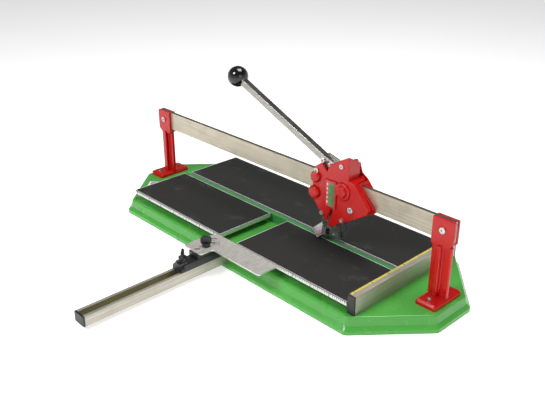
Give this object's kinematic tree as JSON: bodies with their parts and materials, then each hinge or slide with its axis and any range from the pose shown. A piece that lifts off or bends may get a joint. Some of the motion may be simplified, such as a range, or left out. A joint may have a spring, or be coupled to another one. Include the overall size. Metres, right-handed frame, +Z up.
{
  "type": "manual tile cutter",
  "caption": "Manual tile cutter: rail-guided scoring carriage with lever handle over a sprung table on a pressed-steel base, with side fence and measuring arm.",
  "frame": {"origin": "centre of the base tray's underside, on the surface it stands on", "axes": "+Z up, +X along the rail towards the side fence, -Y towards the user and the measuring arm"},
  "size_m": [0.96, 0.722, 0.3833],
  "materials": {
    "tray_paint": "gloss",
    "rib_paint": "gloss",
    "casting_red": "gloss",
    "rail_steel": "brushed",
    "rubber_black": "matte",
    "mat_rubber": "matte",
    "board_aluminium": "satin",
    "scale_white": "satin",
    "spring_steel": "satin",
    "screw_steel": "polished",
    "fence_aluminium": "satin",
    "tape_yellow": "satin",
    "cap_plastic": "matte",
    "slider_plastic": "satin",
    "knob_plastic": "satin",
    "plate_steel": "satin",
    "label_print": "gloss",
    "roller_steel": "polished",
    "handle_steel": "satin",
    "ball_plastic": "gloss",
    "holder_steel": "satin",
    "wheel_carbide": "polished",
    "foot_steel": "polished"
  },
  "bodies": {
    "base": {"base_tray": "tray_paint", "stiffener_channel": "tray_paint", "rubber_buffers": "rubber_black", "breaker_rib": "rib_paint", "pedestal_right": "casting_red", "pedestal_left": "casting_red", "rail_bar": "rail_steel", "pedestal_screws": "screw_steel", "rail_bolts": "screw_steel", "hinge_brackets": "tray_paint", "hinge_pins": "screw_steel", "side_fence": "fence_aluminium", "fence_tape": "tape_yellow", "fence_end_caps": "cap_plastic", "measuring_arm": "fence_aluminium", "arm_tape": "tape_yellow", "arm_end_cap": "cap_plastic", "arm_saddle": "plate_steel", "front_left_spring_left": "spring_steel", "front_left_spring_right": "spring_steel", "front_right_spring_left": "spring_steel", "front_right_spring_right": "spring_steel", "rear_spring_left": "spring_steel", "rear_spring_right": "spring_steel"},
    "front_left_table": {"front_left_board": "board_aluminium", "front_left_mat": "mat_rubber", "front_left_scale": "scale_white"},
    "front_right_table": {"front_right_board": "board_aluminium", "front_right_mat": "mat_rubber", "front_right_scale": "scale_white"},
    "rear_table": {"rear_board": "board_aluminium", "rear_mat": "mat_rubber"},
    "slider": {"slider_block": "slider_plastic", "clamp_nuts": "plate_steel"},
    "slider_wing": {"slider_knob": "knob_plastic"},
    "stop_plate": {"protractor_plate": "plate_steel"},
    "plate_wing": {"plate_knob": "knob_plastic"},
    "carriage": {"carriage_front_shell": "casting_red", "carriage_rear_shell": "casting_red", "label_plate": "label_print", "roller_axles": "screw_steel", "carriage_screws": "screw_steel", "lever_pivot": "screw_steel"},
    "roller_ul": {"upper_left_roller": "roller_steel"},
    "roller_ur": {"upper_right_roller": "roller_steel"},
    "roller_ll": {"lower_left_roller": "roller_steel"},
    "roller_lr": {"lower_right_roller": "roller_steel"},
    "lever": {"rocker_plate_front": "plate_steel", "rocker_plate_rear": "plate_steel", "handle_bar": "handle_steel", "handle_bolts": "screw_steel", "ball_knob": "ball_plastic", "wheel_holder": "holder_steel", "holder_pins": "screw_steel", "wheel_axle": "screw_steel", "foot_pin": "screw_steel"},
    "wheel": {"scoring_wheel": "wheel_carbide"},
    "foot": {"breaker_foot": "foot_steel"}
  },
  "joints": [
    {"name": "carriage_slide", "type": "slide", "parent": "base", "child": "carriage", "axis": [1, 0, 0], "range_m": [-0.42, 0.13]},
    {"name": "roller_ul_spin", "type": "hinge", "parent": "carriage", "child": "roller_ul", "pos_m": [0.1285, 0, 0.2168], "axis": [0, 1, 0], "range_deg": [-3220, 3220]},
    {"name": "roller_ur_spin", "type": "hinge", "parent": "carriage", "child": "roller_ur", "pos_m": [0.203, 0, 0.2168], "axis": [0, 1, 0], "range_deg": [-3220, 3220]},
    {"name": "roller_ll_spin", "type": "hinge", "parent": "carriage", "child": "roller_ll", "pos_m": [0.1285, 0, 0.1562], "axis": [0, 1, 0], "range_deg": [-3220, 3220]},
    {"name": "roller_lr_spin", "type": "hinge", "parent": "carriage", "child": "roller_lr", "pos_m": [0.225, 0, 0.1562], "axis": [0, 1, 0], "range_deg": [-3220, 3220]},
    {"name": "lever_lift", "type": "hinge", "parent": "carriage", "child": "lever", "pos_m": [0.185, 0, 0.222], "axis": [0, 1, 0], "range_deg": [-1.5, 20]},
    {"name": "wheel_spin", "type": "hinge", "parent": "lever", "child": "wheel", "pos_m": [0.168, 0, 0.071], "axis": [0, 1, 0], "continuous": true},
    {"name": "foot_swivel", "type": "hinge", "parent": "lever", "child": "foot", "pos_m": [0.147, 0, 0.101], "axis": [0, 1, 0], "range_deg": [-2, 2]},
    {"name": "front_left_tilt", "type": "hinge", "parent": "base", "child": "front_left_table", "pos_m": [-0.1935, -0.14, 0.042], "axis": [-1, 0, 0], "range_deg": [0, 2.3], "stiffness_Nm_per_rad": 120, "springref_deg": -1.72, "deforming": ["front_left_spring_left", "front_left_spring_right"]},
    {"name": "front_right_tilt", "type": "hinge", "parent": "base", "child": "front_right_table", "pos_m": [0.18675, -0.14, 0.042], "axis": [-1, 0, 0], "range_deg": [0, 2.3], "stiffness_Nm_per_rad": 120, "springref_deg": -1.72, "deforming": ["front_right_spring_left", "front_right_spring_right"]},
    {"name": "rear_tilt", "type": "hinge", "parent": "base", "child": "rear_table", "pos_m": [-0.00375, 0.14, 0.042], "axis": [1, 0, 0], "range_deg": [0, 2.3], "stiffness_Nm_per_rad": 220, "springref_deg": -1.72, "deforming": ["rear_spring_left", "rear_spring_right"]},
    {"name": "slider_slide", "type": "slide", "parent": "base", "child": "slider", "axis": [0, 1, 0], "range_m": [-0.2, 0.006]},
    {"name": "slider_knob_turn", "type": "hinge", "parent": "slider", "child": "slider_wing", "pos_m": [0, -0.287, 0.0495], "axis": [0, 0, 1], "range_deg": [-180, 180]},
    {"name": "plate_swing", "type": "hinge", "parent": "slider", "child": "stop_plate", "pos_m": [0, -0.224, 0.05725], "axis": [0, 0, 1], "range_deg": [-45, 45]},
    {"name": "plate_knob_turn", "type": "hinge", "parent": "slider", "child": "plate_wing", "pos_m": [0, -0.224, 0.0603], "axis": [0, 0, 1], "range_deg": [-180, 180]}
  ],
  "couplings": [
    {"joint": "roller_ul_spin", "follows": "carriage_slide", "rad_per_m": 133.33},
    {"joint": "roller_ur_spin", "follows": "carriage_slide", "rad_per_m": 133.33},
    {"joint": "roller_ll_spin", "follows": "carriage_slide", "rad_per_m": -133.33},
    {"joint": "roller_lr_spin", "follows": "carriage_slide", "rad_per_m": -133.33}
  ]
}
